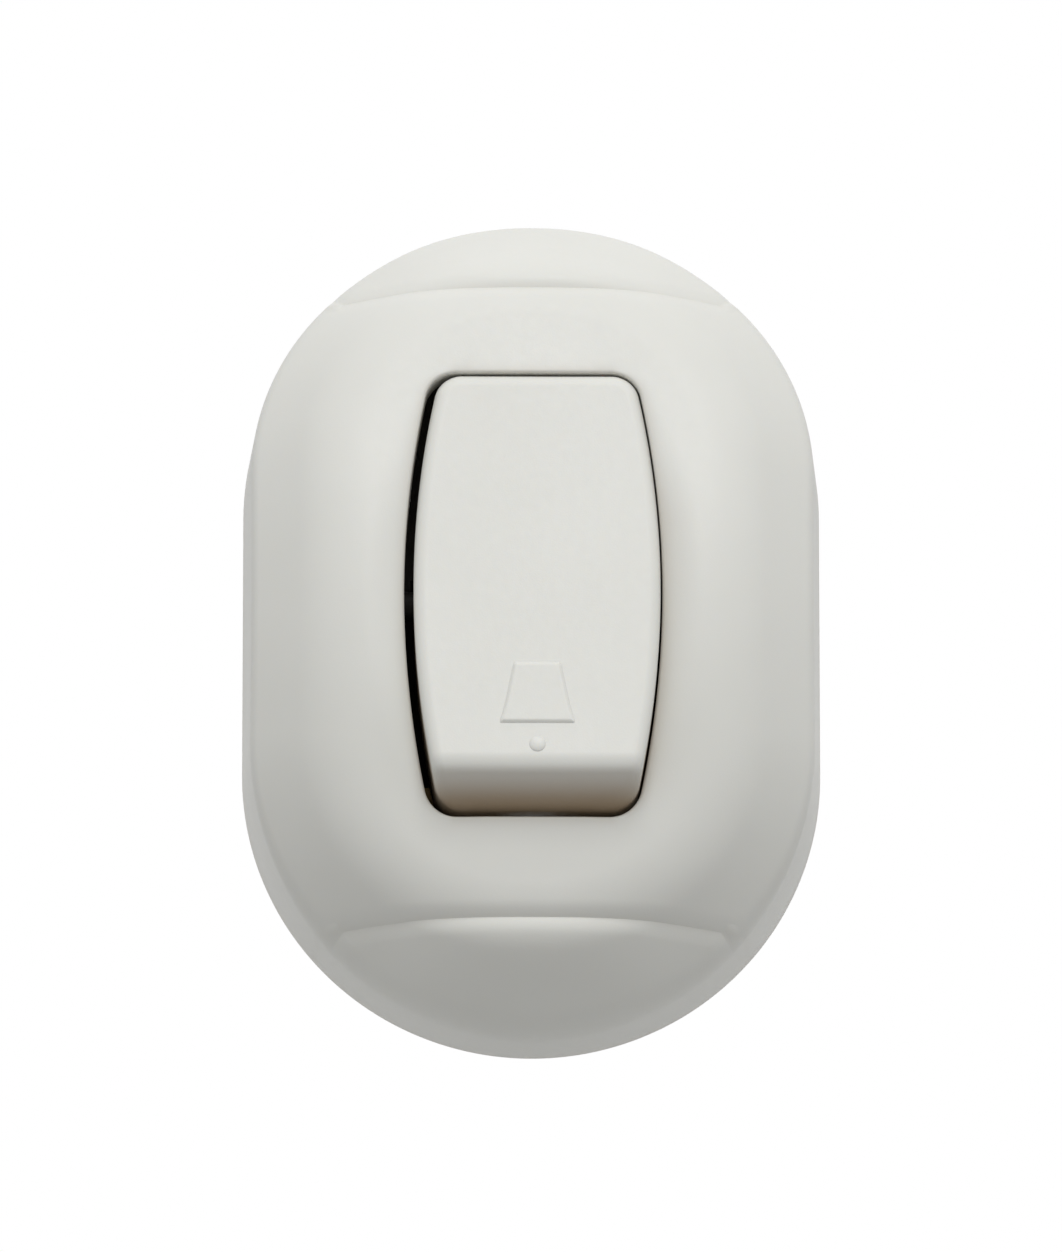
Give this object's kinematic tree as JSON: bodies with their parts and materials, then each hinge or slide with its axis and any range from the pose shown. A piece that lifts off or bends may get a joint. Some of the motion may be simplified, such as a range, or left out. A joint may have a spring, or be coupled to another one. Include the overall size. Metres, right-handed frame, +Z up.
{
  "type": "doorbell push button",
  "caption": "Oval surface-mounted doorbell push with a raised saddle and a tilting button that carries a bell sign, over a sprung contact lever.",
  "frame": {"origin": "centre of the back face that lies on the wall", "axes": "+Z up the wall, +Y into the wall, +X to the right; the front faces -Y"},
  "size_m": [0.062, 0.0301, 0.0904],
  "materials": {
    "ivory_plastic": "satin",
    "base_plastic": "matte",
    "carrier_plastic": "matte",
    "brass": "satin",
    "silver": "satin",
    "steel": "satin"
  },
  "bodies": {
    "housing": {"front_cover": "ivory_plastic", "rear_base": "base_plastic", "contact_carrier": "carrier_plastic", "fixed_contact_strip": "brass", "lever_cradle_strip": "brass", "fixed_contact": "silver", "return_spring": "steel", "terminal_screws": "brass", "left_clamp_washer": "steel", "right_clamp_washer": "steel", "carrier_screws": "steel"},
    "button": {"push_button": "ivory_plastic"},
    "lever": {"contact_lever": "brass", "moving_contact": "silver"}
  },
  "joints": [
    {"name": "button_press", "type": "hinge", "parent": "housing", "child": "button", "pos_m": [0, -0.018, 0], "axis": [1, 0, 0], "range_deg": [0, 6], "stiffness_Nm_per_rad": 0.15, "springref_deg": -11.46},
    {"name": "lever_tilt", "type": "hinge", "parent": "housing", "child": "lever", "pos_m": [0, -0.01036, -0.003], "axis": [1, 0, 0], "range_deg": [0, 7.2], "deforming": ["return_spring"]}
  ],
  "couplings": [
    {"joint": "lever_tilt", "follows": "button_press", "ratio": 1.2}
  ]
}
